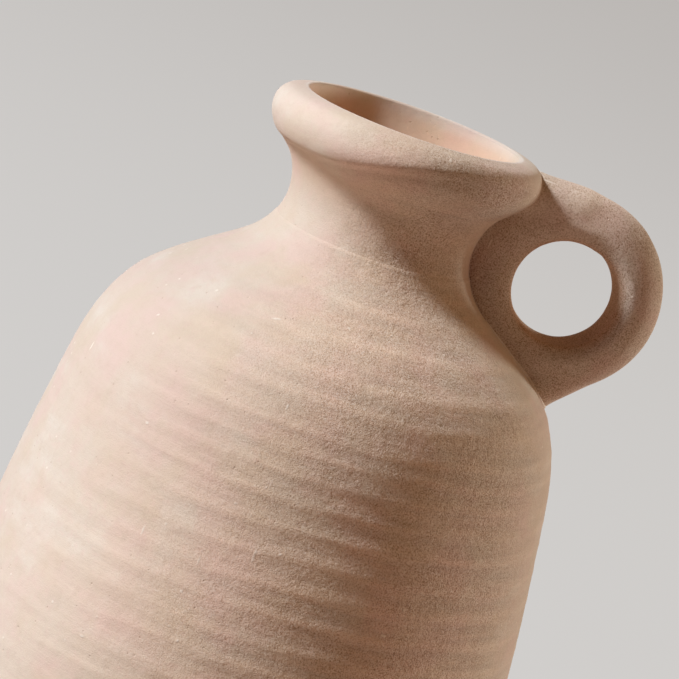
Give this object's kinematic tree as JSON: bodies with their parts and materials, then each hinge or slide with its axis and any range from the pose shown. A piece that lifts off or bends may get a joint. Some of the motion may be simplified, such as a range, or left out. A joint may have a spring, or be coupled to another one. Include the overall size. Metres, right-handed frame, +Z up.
{
  "type": "terracotta vase with handle",
  "caption": "Unglazed wheel-thrown terracotta vase with throwing rings, a waisted neck, a rolled rim and a ring handle, for flowers, pouring or display.",
  "frame": {"origin": "middle of the flat underside, on the vase's axis, at the level of the surface that it stands on", "axes": "+Z up along the axis of the vase, +X out through the middle of the handle, so that the finger hole runs along Y"},
  "size_m": [0.1619, 0.158, 0.262],
  "materials": {
    "clay_body": "matte unglazed",
    "clay_neck": "matte unglazed",
    "clay_rim": "matte unglazed",
    "clay_handle": "matte unglazed",
    "clay_base": "matte unglazed",
    "slip": "matte unglazed"
  },
  "bodies": {
    "root": {"base_disc": "clay_base", "base_slip": "slip", "base_coil": "clay_base", "lower_body": "clay_body", "body_slip": "slip", "upper_body": "clay_body", "neck_slip": "slip", "neck": "clay_neck", "rim_slip": "slip", "rim": "clay_rim", "handle_slip": "slip", "handle": "clay_handle"}
  },
  "joints": []
}
